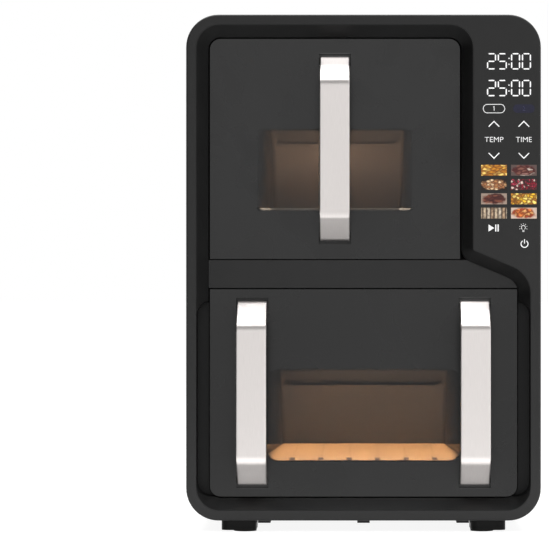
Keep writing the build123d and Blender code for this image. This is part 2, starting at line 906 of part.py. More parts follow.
def make_handle(bay, x):
    """Flat strap bent forward at both ends, its stubs seated on the front frame."""
    low, high = stub_heights(bay)
    middle = front_middle(bay)
    face = handle_thickness / 2 - handle_reach
    knee = panel_back - stub_length
    flat = handle_flat / 2 + handle_bend / 2
    stations = [(panel_back, low), (knee, low), (face, middle - flat)]
    stations += [(face, middle + flat), (knee, high), (panel_back, high)]
    points = [(x, depth(d), z) for d, z in stations]
    path = FilletPolyline(*points, radius=[stub_bend, handle_bend, handle_bend, stub_bend])
    start = Plane(origin=points[0], x_dir=(1, 0, 0), z_dir=(0, -1, 0))
    section = start * RectangleRounded(handle_width, handle_thickness, handle_edge_radius)
    handle = sweep(section, path=path)
    for z in (low, high):
        handle -= screw_hole(x, z, knee, panel_back)
    return handle


def make_handle_screws(bay):
    """Screws through the front frame into the handle stubs."""
    screws = []
    for x in handle_places(bay).values():
        for z in stub_heights(bay):
            place = Pos(x, depth(panel_back + web_thickness), z) * Rot(90, 0, 0)
            screws.append(place * screw(web_thickness + stub_length))
    return screws


def make_front_panel(bay):
    """Tinted front sheet with a slot for each end of a handle."""
    panel = prism(front_outline(bay), recess_depth, panel_back)
    front_edges = panel.faces().sort_by(Axis.Y)[0].edges()
    panel = fillet(front_edges, panel_edge_radius)
    half_width = handle_width / 2 + slot_side_gap
    half_height = handle_thickness / 2 + slot_end_gap
    for x in handle_places(bay).values():
        for z in stub_heights(bay):
            low, high = z - half_height, z + half_height
            panel -= block(x - half_width, x + half_width, recess_depth, panel_back, low, high)
    return panel


def make_front_frame(bay):
    """Moulded tray behind the panel: a skirt, a front web and a collar round the window."""
    outline = front_outline(bay, front_inset)
    web_back = panel_back + web_thickness
    frame = prism(outline, panel_back, frame_back)
    frame -= prism(front_outline(bay, front_inset + front_wall), web_back, frame_back)
    rebate = glass_overlap + seal_width
    frame += prism(window_outline(bay, rebate + collar_wall), web_back, frame_back)
    frame -= prism(window_outline(bay, rebate), web_back, frame_back)
    frame -= prism(window_outline(bay, window_clearance), panel_back, web_back)
    for x in handle_places(bay).values():
        for z in stub_heights(bay):
            frame -= screw_hole(x, z, panel_back, web_back)
    return frame


def make_front_back(bay):
    """Metal liner on the back of a drawer front, open at the window."""
    outline = front_outline(bay, front_inset) - window_outline(bay)
    return prism(outline, frame_back, seat)


def make_inner_glass(bay):
    """Heat-resisting pane behind the window opening of the liner."""
    return prism(window_outline(bay, glass_overlap), frame_back - glass_thickness, frame_back)


def make_window_seal(bay):
    """Gasket between the inner pane and its collar."""
    ring = window_outline(bay, glass_overlap + seal_width) - window_outline(bay, glass_overlap)
    return prism(ring, frame_back - glass_thickness, frame_back)


def make_basket(bay):
    """Tapered basket with a window in its front wall, a low back wall and a lip to run on."""
    low = bay.floor + tub_lift
    rim = bay.floor + rim_rise
    outside = [Pos(0, 0, low) * tub_outline(bay, tub_lift), Pos(0, 0, rim) * tub_outline(bay, rim_rise)]
    floor_rise = tub_lift + tub_wall
    inside = [
        Pos(0, 0, low + tub_wall) * tub_outline(bay, floor_rise, tub_wall),
        Pos(0, 0, rim) * tub_outline(bay, rim_rise, tub_wall),
    ]
    lip_half = bay.tub_half + lip_width
    lip = block(bay.centre - lip_half, bay.centre + lip_half, seat, tub_back, rim - lip_thickness, rim)
    basket = loft(outside, ruled=True) + lip - loft(inside, ruled=True)
    basket -= prism(window_outline(bay, window_clearance), seat, seat + tub_wall)
    notch_half = bay.tub_half - tub_taper - tub_wall - tub_corner
    notch = rounded_rect(-notch_half, notch_half, rim - bay.rear_drop, rim + tub_corner * 2, tub_corner)
    return basket - prism(Pos(bay.centre, 0) * notch, tub_back - tub_corner * 2, tub_back + tub_corner)


def plate_foot_places(bay):
    """Places in plan of the feet under a crisper plate."""
    rear_half = bay.tub_half - tub_taper - plate_foot_inset
    near = depth(seat + tub_wall + plate_foot_inset)
    far = depth(tub_back - plate_foot_inset)
    return [(bay.centre + side * rear_half, y) for y in (near, far) for side in (-1, 1)]


def make_crisper_plate(bay):
    """Flat plate, loose inside the basket, with slots along its front and rows of small holes behind them."""
    rise = plate_top_rise - plate_thickness
    outline = tub_outline(bay, rise, tub_wall + plate_gap)
    slot = SlotOverall(slot_length, slot_width, rotation=90)
    slot_start = seat + tub_wall + plate_gap + slot_margin
    first_row = slot_start + slot_length + hole_row_pitch
    rows = int((tub_back - plate_foot_inset - first_row) / hole_row_pitch) + 1
    for column in range(bay.slot_columns):
        x = bay.centre + (column - (bay.slot_columns - 1) / 2) * slot_pitch
        outline -= Pos(x, depth(slot_start + slot_length / 2)) * slot
        for row in range(rows):
            outline -= Pos(x, depth(first_row + row * hole_row_pitch)) * Circle(hole_radius)
    return slab(outline, bay.floor + rise, bay.floor + plate_top_rise)


def make_plate_feet(bay):
    """Soft feet that hold a crisper plate above the basket floor."""
    low = bay.floor + tub_lift + tub_wall + plate_foot_gap
    high = bay.floor + plate_top_rise - plate_thickness
    return [post(x, y, low, high, plate_foot_radius) for x, y in plate_foot_places(bay)]


# The whole object, one entry for each named piece

pieces = {
    "front_bezel": make_front_bezel(),
    "recess_frame": make_recess_frame(),
    "centre_rail": make_centre_rail(),
    "housing_shell": make_housing_shell(),
    "base_tray": make_base_tray(),
    "rear_cover": make_rear_cover(),
    "cord_gland": make_cord_gland(),
    "rear_cover_screws": make_rear_cover_screws(),
    "base_screws": make_base_screws(),
    "front_feet": make_feet(foot_setback),
    "rear_feet": make_feet(body_depth - foot_setback - foot_length),
    "temperature_probes": make_temperature_probes(),
    "drawer_sensors": make_drawer_sensors(),
    "display_board": make_display_board(),
    "digit_display": make_digit_display(),
    "power_board": make_power_board(),
}
for bay in bays:
    pieces[bay.name + "_chamber"] = make_chamber(bay)
    pieces[bay.name + "_runners"] = make_runners(bay)
    pieces[bay.name + "_heater"] = make_heater(bay)
    pieces[bay.name + "_heater_guard"] = make_heater_guard(bay)
    pieces[bay.name + "_hot_fan"] = make_hot_fan(bay)
    pieces[bay.name + "_fan_shaft"] = make_fan_shaft(bay)
    pieces[bay.name + "_cooling_fan"] = make_cooling_fan(bay)
    pieces[bay.name + "_motor"] = make_motor(bay)
    pieces[bay.name + "_motor_bracket"] = make_motor_bracket(bay)
    pieces[bay.name + "_lamp_lens"] = make_lamp_lens(bay)
    pieces[bay.name + "_lamp"] = make_lamp(bay)
    pieces[bay.name + "_front_panel"] = make_front_panel(bay)
    pieces[bay.name + "_front_frame"] = make_front_frame(bay)
    pieces[bay.name + "_front_back"] = make_front_back(bay)
    pieces[bay.name + "_inner_glass"] = make_inner_glass(bay)
    pieces[bay.name + "_window_seal"] = make_window_seal(bay)
    pieces[bay.name + "_handle_screws"] = make_handle_screws(bay)
    pieces[bay.name + "_basket"] = make_basket(bay)
    pieces[bay.name + "_crisper_plate"] = make_crisper_plate(bay)
    pieces[bay.name + "_plate_feet"] = make_plate_feet(bay)
    for name, x in handle_places(bay).items():
        pieces[name] = make_handle(bay, x)

os.makedirs("parts", exist_ok=True)
for name, piece in pieces.items():
    solids = Compound(children=piece) if isinstance(piece, list) else piece
    export_step(solids, f"parts/{name}.step")
print(f"{len(pieces)} pieces, body height {body_top - body_bottom:.1f} mm")
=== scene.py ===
# %% [markdown]
# A tower air fryer with two drawers, dressed for a studio picture.
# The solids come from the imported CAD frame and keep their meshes. This lesson gives each one a finish
# made of shader nodes, prints the touch strip, lights the two cooking bays and sets the camera.

# %% Load the frame
import json
import math

import bmesh
import bpy
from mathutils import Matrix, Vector


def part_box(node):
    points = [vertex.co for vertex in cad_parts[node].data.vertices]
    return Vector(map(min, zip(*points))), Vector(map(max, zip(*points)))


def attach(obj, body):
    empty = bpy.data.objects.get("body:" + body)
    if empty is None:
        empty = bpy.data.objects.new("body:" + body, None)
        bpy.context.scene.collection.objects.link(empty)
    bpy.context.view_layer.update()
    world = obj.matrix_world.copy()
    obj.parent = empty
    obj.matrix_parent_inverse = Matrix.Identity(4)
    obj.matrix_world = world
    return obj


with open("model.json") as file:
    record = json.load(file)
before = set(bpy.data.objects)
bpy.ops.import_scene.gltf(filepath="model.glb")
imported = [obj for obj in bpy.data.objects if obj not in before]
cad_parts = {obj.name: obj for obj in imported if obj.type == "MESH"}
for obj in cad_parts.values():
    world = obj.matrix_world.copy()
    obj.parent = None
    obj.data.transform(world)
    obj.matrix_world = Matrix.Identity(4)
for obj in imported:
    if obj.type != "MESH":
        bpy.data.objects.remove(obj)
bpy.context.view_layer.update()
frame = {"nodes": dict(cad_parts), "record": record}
nodes = frame["nodes"]
scene = bpy.context.scene

# %% [markdown]
# The picture is taken straight on, from about two and a half metres, with the body right of the middle.
# A camera could be turned towards the body, but then its upright edges would lean. The lens is shifted
# sideways instead, as on a view camera, so every edge of the front stays upright.

# %% Camera
picture_width = 549
body_middle_column = 363.5
metres_per_pixel = 0.0008
eye_distance = 2.4
eye_height = 0.206
rim_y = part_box("front_bezel")[0].y

lens = bpy.data.cameras.new("eye")
field_width = picture_width * metres_per_pixel
lens.sensor_width = 36.0
lens.lens = lens.sensor_width * eye_distance / field_width
lens.shift_x = (picture_width / 2 - body_middle_column) / picture_width
camera = bpy.data.objects.new("eye", lens)
camera.location = (0.0, rim_y - eye_distance, eye_height)
camera.rotation_euler = (math.radians(90), 0, 0)
scene.collection.objects.link(camera)
scene.camera = camera
scene.view_settings.view_transform = "Standard"
print("lens", round(lens.lens, 1), "mm, sideways shift", round(lens.shift_x, 4))

# %% [markdown]
# Every material and node tree below is built from the same small step: make a node, set it, wire it.
# Doing that with one helper keeps the trees short enough to read. A value that is a socket is linked,
# and any other value is set on the input itself.

# %% Helpers for node trees
def add_node(tree, kind, inputs=None, **properties):
    """A new node with its properties and inputs set; an input given as a socket is linked to it."""
    made = tree.nodes.new(kind)
    for name, value in properties.items():
        setattr(made, name, value)
    for key, value in (inputs or {}).items():
        if isinstance(value, bpy.types.NodeSocket):
            tree.links.new(value, made.inputs[key])
        else:
            made.inputs[key].default_value = value
    return made


def ramp(tree, factor, stops, interpolation="LINEAR"):
    """Colour ramp from (place, colour) stops; its colour output."""
    made = add_node(tree, "ShaderNodeValToRGB", {"Fac": factor})
    made.color_ramp.interpolation = interpolation
    elements = made.color_ramp.elements
    while len(elements) < len(stops):
        elements.new(1.0)
    for element, (place, colour) in zip(elements, stops):
        element.position = place
        element.color = (*colour, 1.0)
    return made.outputs["Color"]


def between(tree, factor, low, high):
    """Value that goes from low to high as the factor goes from zero to one."""
    return add_node(tree, "ShaderNodeMapRange", {"Value": factor, "To Min": low, "To Max": high}).outputs[0]


def shades(tree, factor, dark, light):
    """Colour that goes from dark to light as the factor goes from zero to one."""
    return ramp(tree, factor, [(0.25, dark), (0.75, light)])


# %% [markdown]
# The studio is a white floor that runs out to a white surround. A real photographer would over-light a
# paper roll. Here the surround is simply white wherever the camera, a mirror or a pane of glass looks at
# it, and a plain grey light for everything else, so the black plastic keeps its own depth of tone.

# %% White surround and floor
def seen_directly(tree):
    """One for camera, glossy and transmission rays, which should meet the white background."""
    path = add_node(tree, "ShaderNodeLightPath").outputs
    glossy = add_node(tree, "ShaderNodeMath", {0: path["Is Camera Ray"], 1: path["Is Glossy Ray"]},
                      operation="MAXIMUM")
    both = add_node(tree, "ShaderNodeMath", {0: glossy.outputs[0], 1: path["Is Transmission Ray"]},
                    operation="MAXIMUM")
    return both.outputs[0]


surround_light = 0.42
floor_white = 0.8
floor_shadow_white = 0.3
floor_glow = 0.9
world = bpy.data.worlds.new("studio")
world.use_nodes = True
scene.world = world
sky = world.node_tree
background = sky.nodes["Background"]
background.inputs["Color"].default_value = (1, 1, 1, 1)
sky.links.new(between(sky, seen_directly(sky), surround_light, 1.0), background.inputs["Strength"])

floor_half = 20.0
floor_mesh = bpy.data.meshes.new("floor")
corners = [(-floor_half, -floor_half, 0), (floor_half, -floor_half, 0),
           (floor_half, floor_half, 0), (-floor_half, floor_half, 0)]
floor_mesh.from_pydata(corners, [], [(0, 1, 2, 3)])
floor = bpy.data.objects.new("floor", floor_mesh)
scene.collection.objects.link(floor)
paper = bpy.data.materials.new("white_floor")
paper.use_nodes = True
tree = paper.node_tree
tree.nodes.remove(tree.nodes["Principled BSDF"])
plain = add_node(tree, "ShaderNodeBsdfDiffuse", {"Color": (floor_white, floor_white, floor_white, 1)})
shadow_colour = (floor_shadow_white, floor_shadow_white, floor_shadow_white, 1)
shadowed = add_node(tree, "ShaderNodeBsdfDiffuse", {"Color": shadow_colour})
glow = add_node(tree, "ShaderNodeEmission", {"Color": (1, 1, 1, 1), "Strength": floor_glow})
bright = add_node(tree, "ShaderNodeAddShader", {0: shadowed.outputs[0], 1: glow.outputs[0]})
chosen = add_node(tree, "ShaderNodeMixShader",
                  {0: seen_directly(tree), 1: plain.outputs[0], 2: bright.outputs[0]})
tree.links.new(chosen.outputs[0], tree.nodes["Material Output"].inputs["Surface"])
floor_mesh.materials.append(paper)
print("floor", 2 * floor_half, "m across")

# %% [markdown]
# Four soft boxes shape the object. A strip straight overhead whitens the upper legs of the handles, a low
# card lights their lower legs from below, a box to the right draws a light line down the right edge of
# each strap, and a broad one behind the camera lifts everything that faces it. Two black flags do the
# reverse: the left edges of the straps mirror one, and the bends below their white legs mirror the other.
# A small sun would give hard shadows instead.

# %% Soft boxes
def soft_box(name, place, target, width, height, watts, colour=(1, 1, 1), spread=180):
    """Rectangular area light at a place, facing a target."""
    light = bpy.data.lights.new(name, "AREA")
    light.shape = "RECTANGLE"
    light.size = width
    light.size_y = height
    light.energy = watts
    light.color = colour
    light.spread = math.radians(spread)
    lamp = bpy.data.objects.new(name, light)
    lamp.location = place
    aim = Vector(target) - Vector(place)
    lamp.rotation_euler = aim.to_track_quat("-Z", "Y").to_euler()
    lamp.visible_camera = False
    scene.collection.objects.link(lamp)
    return lamp


body_centre = Vector((0, 0, 0.2))
soft_boxes = {
    "overhead": {"place": (0.1, -0.2, 1.9), "target": (0.1, -0.199, 0.0), "width": 2.4, "height": 0.36,
                 "watts": 54},
    "low_card": {"place": (0.0, -0.25, 0.004), "target": (0.0, -0.249, 1.0), "width": 1.6, "height": 0.12,
                 "watts": 0.55},
    "right_side": {"place": (1.7, -1.5, 0.7), "target": body_centre, "width": 0.9, "height": 1.4, "watts": 8},
    "front": {"place": (0.2, -3.6, 0.9), "target": body_centre, "width": 2.2, "height": 1.6, "watts": 10},
}
for name, setting in soft_boxes.items():
    soft_box(name, **setting)

left_flag = [(-1.3, -2.2, 0.0), (-1.3, 0.4, 0.0), (-1.3, 0.4, 1.6), (-1.3, -2.2, 1.6)]
top_flag = [(-1.5, -0.52, 1.56), (1.5, -0.52, 1.56), (1.5, -1.57, 1.10), (-1.5, -1.57, 1.10)]
flag_mesh = bpy.data.meshes.new("black_flag")
flag_mesh.from_pydata(left_flag + top_flag, [], [(0, 1, 2, 3), (4, 5, 6, 7)])
flag = bpy.data.objects.new("black_flag", flag_mesh)
cloth = bpy.data.materials.new("black_cloth")
cloth.use_nodes = True
cloth_shader = cloth.node_tree.nodes["Principled BSDF"]
cloth_shader.inputs["Base Color"].default_value = (0.01, 0.01, 0.01, 1)
cloth_shader.inputs["Specular IOR Level"].default_value = 0.0
flag_mesh.materials.append(cloth)
flag.visible_camera = False
flag.visible_diffuse = False
flag.visible_shadow = False
flag.visible_transmission = False
scene.collection.objects.link(flag)
print("soft boxes", list(soft_boxes))

# %% [markdown]
# The ends of the handle legs sit inside the recess, where they would mirror its black bevel. A photographer
# tucks slips of white card in there, just out of sight. Here a slip is a tiny soft box past the end of a
# leg, facing it. The numbers are the watts of the slip above a handle and of the one below it.

# %% Slips of card at the handles
slip_depth = 0.014
slip_gap = 0.003
slip_lean = 0.0001
slip_watts = {
    "upper_handle": (0.0020, 0.0),
    "lower_left_handle": (0.0, 0.0006),
    "lower_right_handle": (0.0020, 0.0006),
}
for handle, both_watts in slip_watts.items():
    low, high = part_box(handle)
    middle = (low + high) / 2
    for end, z, watts in zip(("above", "below"), (high.z + slip_gap, low.z - slip_gap), both_watts):
        if watts:
            place = Vector((middle.x, rim_y + slip_depth / 2, z))
            target = (place.x, place.y + slip_lean, middle.z)
            soft_box(handle + "_slip_" + end, place, target, high.x - low.x, slip_depth, watts)
print("slips at", sorted(slip_watts))

# %% [markdown]
# Moulded plastic, paint and rubber all carry a fine grain and a slow cloudiness from the mould. Both are
# noise, so one node group serves them all: it gives out the grain's height and the cloud's value, and
# each material decides how deep and how dark to make them.

# %% Shared effects: grain
def new_group(name, inputs, outputs):
    """Shader node group that takes a place on the surface and numbers, and gives out values."""
    group = bpy.data.node_groups.new(name, "ShaderNodeTree")
    group.interface.new_socket("Place", in_out="INPUT", socket_type="NodeSocketVector")
    for label, value in inputs.items():
        socket = group.interface.new_socket(label, in_out="INPUT", socket_type="NodeSocketFloat")
        socket.default_value = value
    for label in outputs:
        group.interface.new_socket(label, in_out="OUTPUT", socket_type="NodeSocketFloat")
    return group, group.nodes.new("NodeGroupInput").outputs, group.nodes.new("NodeGroupOutput").inputs


def noise(tree, place, scale, detail=2.0, distortion=0.0):
    """Noise texture; its value output."""
    sockets = {"Vector": place, "Scale": scale, "Detail": detail, "Distortion": distortion}
    return add_node(tree, "ShaderNodeTexNoise", sockets).outputs["Fac"]


moulded_grain, given, result = new_group(
    "moulded_grain", {"Grain": 2500.0, "Cloud": 18.0}, ["Height", "Cloud"])
moulded_grain.links.new(noise(moulded_grain, given["Place"], given["Grain"], 3.0), result["Height"])
moulded_grain.links.new(noise(moulded_grain, given["Place"], given["Cloud"], 2.0, 0.6), result["Cloud"])

# %% [markdown]
# Brushed metal is a noise drawn out along one direction. Squeezing the coordinates before the noise does
# it: a small multiplier along the brush, a large one across. The direction is an input of the group, so
# straps brushed upwards and sheets brushed sideways share it. Smudges are noise too, cut off below a
# level so that they come in patches.

# %% Shared effects: brushing and smudges
line_scale = 3500.0
sheen_scale = 14.0
brushed, given, result = new_group(
    "brushed", {"Along X": 1.0, "Along Y": 1.0, "Along Z": 0.02}, ["Line", "Cloud"])
stretch = add_node(brushed, "ShaderNodeCombineXYZ",
                   {0: given["Along X"], 1: given["Along Y"], 2: given["Along Z"]})
drawn_out = add_node(brushed, "ShaderNodeVectorMath", {0: given["Place"], 1: stretch.outputs[0]},
                     operation="MULTIPLY")
brushed.links.new(noise(brushed, drawn_out.outputs[0], line_scale, 3.0), result["Line"])
brushed.links.new(noise(brushed, given["Place"], sheen_scale, 2.0, 0.4), result["Cloud"])

smudges, given, result = new_group("smudges", {"Size": 30.0}, ["Film"])
film = noise(smudges, given["Place"], given["Size"], 4.0, 1.2)
patches = add_node(smudges, "ShaderNodeMapRange", {"Value": film, "From Min": 0.45, "From Max": 0.8})
smudges.links.new(patches.outputs[0], result["Film"])
print("groups", [g.name for g in bpy.data.node_groups])

# %% [markdown]
# A material starts as a Principled shader with its constant numbers set straight on its sockets. What
# varies over the surface is wired in afterwards. The coordinates are the object's own, so a pattern stays
# where it is when a drawer slides out.

# %% Starting a material
def new_material(name, **constants):
    """Material with a Principled shader: its tree, shader and the object's coordinates."""
    made = bpy.data.materials.new(name)
    made.use_nodes = True
    tree = made.node_tree
    shader = tree.nodes["Principled BSDF"]
    for label, value in constants.items():
        shader.inputs[label.replace("_", " ")].default_value = value
    place = add_node(tree, "ShaderNodeTexCoord").outputs["Object"]
    return made, tree, shader, place


def use_group(tree, group, place, **numbers):
    """The outputs of a shared effect placed in a material with its own numbers."""
    inputs = {"Place": place, **{label.replace("_", " "): value for label, value in numbers.items()}}
    return add_node(tree, "ShaderNodeGroup", inputs, node_tree=group).outputs


def rough_surface(tree, shader, height, depth):
    """Bump from a height, this many metres deep."""
    bump = add_node(tree, "ShaderNodeBump", {"Height": height, "Distance": depth, "Strength": 1.0})
    tree.links.new(bump.outputs[0], shader.inputs["Normal"])


def moulded(name, dark, light, roughness, grain=2500.0, cloud=18.0, depth=0.00004, **constants):
    """Moulded or painted finish: two close colours, a roughness range and a fine grain."""
    made, tree, shader, place = new_material(name, **constants)
    effect = use_group(tree, moulded_grain, place, Grain=grain, Cloud=cloud)
    tree.links.new(shades(tree, effect["Cloud"], dark, light), shader.inputs["Base Color"])
    tree.links.new(between(tree, effect["Cloud"], *roughness), shader.inputs["Roughness"])
    rough_surface(tree, shader, effect["Height"], depth)
    return made


def metal(name, dark, light, roughness, along=(1.0, 1.0, 0.02), depth=0.00001, **constants):
    """Brushed metal finish drawn out along one direction."""
    made, tree, shader, place = new_material(name, Metallic=1.0, **constants)
    effect = use_group(tree, brushed, place, Along_X=along[0], Along_Y=along[1], Along_Z=along[2])
    tree.links.new(shades(tree, effect["Line"], dark, light), shader.inputs["Base Color"])
    tree.links.new(between(tree, effect["Cloud"], *roughness), shader.inputs["Roughness"])
    rough_surface(tree, shader, effect["Line"], depth)
    return made


def grey(level, warmth=0.0):
    """Linear grey, a little warmer or cooler."""
    return (level * (1 + warmth), level, level * (1 - warmth))


# %% [markdown]
# The outside of the real object is black plastic in two finishes: a satin one on the rim, the shell and
# the rail, and a deeper one on the bevel that leads the eye into the recess. In a white studio most of
# what a black plastic shows is the surround's reflection, so the base colours are nearly black. The cooking
# surfaces are dark coats with a trace of warmth, and the crisper plates' coat is paler.

# %% Plastics, rubber and coats
finish = {}
finish["satin_black"] = moulded("satin_black", grey(0.012), grey(0.015), (0.42, 0.52),
                                Specular_IOR_Level=0.24)
finish["gloss_black"] = moulded("gloss_black", grey(0.005), grey(0.007), (0.40, 0.48), grain=900.0,
                                depth=0.000004, Specular_IOR_Level=0.20)
finish["inner_plastic"] = moulded("inner_plastic", grey(0.010), grey(0.014), (0.5, 0.62))
finish["soft_rubber"] = moulded("soft_rubber", grey(0.003), grey(0.005), (0.34, 0.46), grain=1800.0,
                                depth=0.00002, Specular_IOR_Level=0.10)
finish["motor_case"] = moulded("motor_case", grey(0.20), grey(0.26), (0.38, 0.5), cloud=30.0)
finish["display_black"] = moulded("display_black", grey(0.010), grey(0.016), (0.08, 0.14), depth=0.000002)

warmth = 0.03
coat_grain = 1400.0
finish["oven_enamel"] = moulded("oven_enamel", grey(0.040, warmth), grey(0.050, warmth), (0.4, 0.55),
                                coat_grain, cloud=22.0, depth=0.00005)
finish["nonstick"] = moulded("nonstick", grey(0.036, warmth), grey(0.046, warmth), (0.32, 0.46),
                             coat_grain, cloud=26.0, depth=0.00006)
plate_coat = moulded("plate_coat", grey(0.19, warmth), grey(0.23, warmth), (0.36, 0.5),
                     coat_grain, cloud=26.0, depth=0.00006)


# %% [markdown]
# The circuit boards are green lacquer over copper tracks. Brick texture lines, thin and staggered, read
# as tracks at this scale without drawing a real circuit.

# %% Circuit board
def tracked_board():
    """Green board with paler tracks under its lacquer."""
    made, tree, shader, place = new_material("circuit_board", Roughness=0.35, Coat_Weight=0.4)
    turned = add_node(tree, "ShaderNodeMapping", {"Vector": place, "Rotation": (math.pi / 2, 0, 0)})
    tracks = add_node(tree, "ShaderNodeTexBrick", {
        "Vector": turned.outputs[0], "Scale": 120.0, "Mortar Size": 0.035,
        "Color1": (0.018, 0.11, 0.05, 1), "Color2": (0.022, 0.13, 0.06, 1), "Mortar": (0.09, 0.26, 0.12, 1)})
    tree.links.new(tracks.outputs["Color"], shader.inputs["Base Color"])
    rough_surface(tree, shader, tracks.outputs["Fac"], 0.00003)
    return made


finish["circuit_board"] = tracked_board()

# %% [markdown]
# The strap handles are bent from satin aluminium, brushed along their length. The chambers, runners and
# guards are plain sheet steel, the heater is steel darkened by heat, and the fan is bright aluminium.
# One metal recipe makes them all, with other colours and brush directions.

# %% Metals
finish["handle_metal"] = metal("handle_metal", (0.518, 0.490, 0.477), (0.578, 0.547, 0.533), (0.40, 0.45),
                               along=(1.0, 0.03, 0.03), depth=0.000004)
finish["oven_steel"] = metal("oven_steel", grey(0.36), grey(0.46), (0.34, 0.48), along=(0.05, 0.05, 1.0))
finish["heater_steel"] = metal("heater_steel", grey(0.13, 0.06), grey(0.22, 0.06), (0.45, 0.6),
                               along=(0.4, 0.4, 1.0))
finish["fan_aluminium"] = metal("fan_aluminium", grey(0.6), grey(0.7), (0.28, 0.4), along=(1.0, 0.1, 1.0))
finish["screw_steel"] = metal("screw_steel", grey(0.28), grey(0.38), (0.3, 0.42), along=(1.0, 0.2, 1.0))


# %% [markdown]
# Each drawer front is one sheet of black glass that is clear only in its window. A second sheet with a
# hole would show a seam, and there is none. So the sheet keeps one finish, and a mask in the shape of the
# window makes it see-through there. The mask is the distance to a rounded rectangle, worked out from the
# object's own coordinates with a soft border. It fades towards the sides and the head, but not on the sill.

# %% Window mask
window, given, result = new_group("rounded_window", {
    "Centre X": 0.0, "Centre Z": 0.0, "Half Width": 0.05, "Half Height": 0.03, "Corner": 0.012,
    "Border": 0.0015, "Side Fade": 0.006, "Top Fade": 0.003, "Sill": 0.0}, ["Open"])


def calculate(tree, operation, first, second=0.0):
    """Result of a Math node."""
    return add_node(tree, "ShaderNodeMath", {0: first, 1: second}, operation=operation).outputs[0]


def sum_of_squares(tree, first, second):
    """First squared plus second squared."""
    return calculate(tree, "ADD", calculate(tree, "POWER", first, 2.0), calculate(tree, "POWER", second, 2.0))


def past_corner(axis, centre, half):
    """How far a point lies beyond the straight part of a side, or zero."""
    away = calculate(window, "ABSOLUTE", calculate(window, "SUBTRACT", axis, given[centre]))
    straight = calculate(window, "SUBTRACT", given[half], given["Corner"])
    return calculate(window, "MAXIMUM", calculate(window, "SUBTRACT", away, straight), 0.0)


axes = add_node(window, "ShaderNodeSeparateXYZ", {0: given["Place"]}).outputs
sideways = past_corner(axes["X"], "Centre X", "Half Width")
upwards = past_corner(axes["Z"], "Centre Z", "Half Height")
from_corner = calculate(window, "SQRT", sum_of_squares(window, sideways, upwards))
inside = calculate(window, "SUBTRACT", given["Corner"], from_corner)


def faded(distance, border):
    """Zero at an edge of the window, rising to one a border's width inside it."""
    share = calculate(window, "DIVIDE", distance, given[border])
    return add_node(window, "ShaderNodeClamp", {0: share}).outputs[0]


off_centre = calculate(window, "ABSOLUTE", calculate(window, "SUBTRACT", axes["X"], given["Centre X"]))
from_side = calculate(window, "SUBTRACT", given["Half Width"], off_centre)
window_head = calculate(window, "ADD", given["Centre Z"], given["Half Height"])
from_head = calculate(window, "SUBTRACT", window_head, axes["Z"])
window_foot = calculate(window, "SUBTRACT", given["Centre Z"], given["Half Height"])
from_foot = calculate(window, "SUBTRACT", axes["Z"], window_foot)
on_sill = calculate(window, "LESS_THAN", from_foot, given["Sill"])
side_share = calculate(window, "MAXIMUM", faded(from_side, "Side Fade"), on_sill)
soft_ends = calculate(window, "MULTIPLY", side_share, faded(from_head, "Top Fade"))
window.links.new(calculate(window, "MULTIPLY", faded(inside, "Border"), soft_ends), result["Open"])

# %% [markdown]
# The pane behind the window is clear heat-resisting glass with a coating that keeps reflections down. It
# is real refraction with a low index. Each face of the masked sheet in front of it keeps not quite half of
# its own black, and light that has passed both faces is down to about a third.

# %% Glass
glass_overlap = 0.004
sheet_cover = 0.45
window_corner = {"upper": 0.003, "lower": 0.012}
side_fade = {"upper": 0.010, "lower": 0.015}
clear_sill = {"upper": 0.0036, "lower": 0.0145}


def smoked_panel(bay):
    """Black sheet of a drawer front, see-through in the window."""
    low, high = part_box(bay + "_inner_glass")
    made, tree, shader, place = new_material(bay + "_smoked_panel", Specular_IOR_Level=0.30)
    effect = use_group(tree, moulded_grain, place, Grain=1500.0, Cloud=12.0)
    film = use_group(tree, smudges, place, Size=16.0)["Film"]
    tree.links.new(shades(tree, effect["Cloud"], grey(0.006), grey(0.008)), shader.inputs["Base Color"])
    tree.links.new(between(tree, film, 0.26, 0.34), shader.inputs["Roughness"])
    centre = (low + high) / 2
    half = (high - low) / 2
    mask = use_group(tree, window, place, Centre_X=centre.x, Centre_Z=centre.z,
                     Half_Width=half.x - glass_overlap, Half_Height=half.z - glass_overlap,
                     Corner=window_corner[bay], Side_Fade=side_fade[bay], Sill=clear_sill[bay])
    tree.links.new(between(tree, mask["Open"], 1.0, sheet_cover), shader.inputs["Alpha"])
    return made


def clear_glass():
    """Clear glass with a faint uneven film on it."""
    made, tree, shader, place = new_material("clear_glass", Transmission_Weight=1.0, IOR=1.2)
    shader.inputs["Base Color"].default_value = (0.93, 0.95, 0.945, 1)
    film = use_group(tree, smudges, place, Size=22.0)["Film"]
    tree.links.new(between(tree, film, 0.0, 0.02), shader.inputs["Roughness"])
    return made


finish["clear_glass"] = clear_glass()
own_finish = {bay + "_front_panel": smoked_panel(bay) for bay in ("upper", "lower")}
own_finish.update({bay + "_crisper_plate": plate_coat for bay in ("upper", "lower")})

# %% [markdown]
# The record says which slot each solid belongs to, so the finishes are handed out by slot. That way a
# piece added to the frame later takes the right finish without a line here.

# %% Hand out the finishes
for row in frame["record"]["subparts"]:
    mesh = nodes[row["node"]].data
    mesh.materials.clear()
    mesh.materials.append(own_finish.get(row["node"]) or finish[row["material_slot"]])
print("finishes", sorted(finish))

# %% [markdown]
# A warm lamp hangs in the roof of each bay. Its lens glows by itself. One tiny light under it would give
# hot spots, so the lamp's effect is laid on by three soft lights: a wash straight down on the crisper
# plate, a strip that faces the top of the basket's rear wall, and a weak neutral fill from the window.

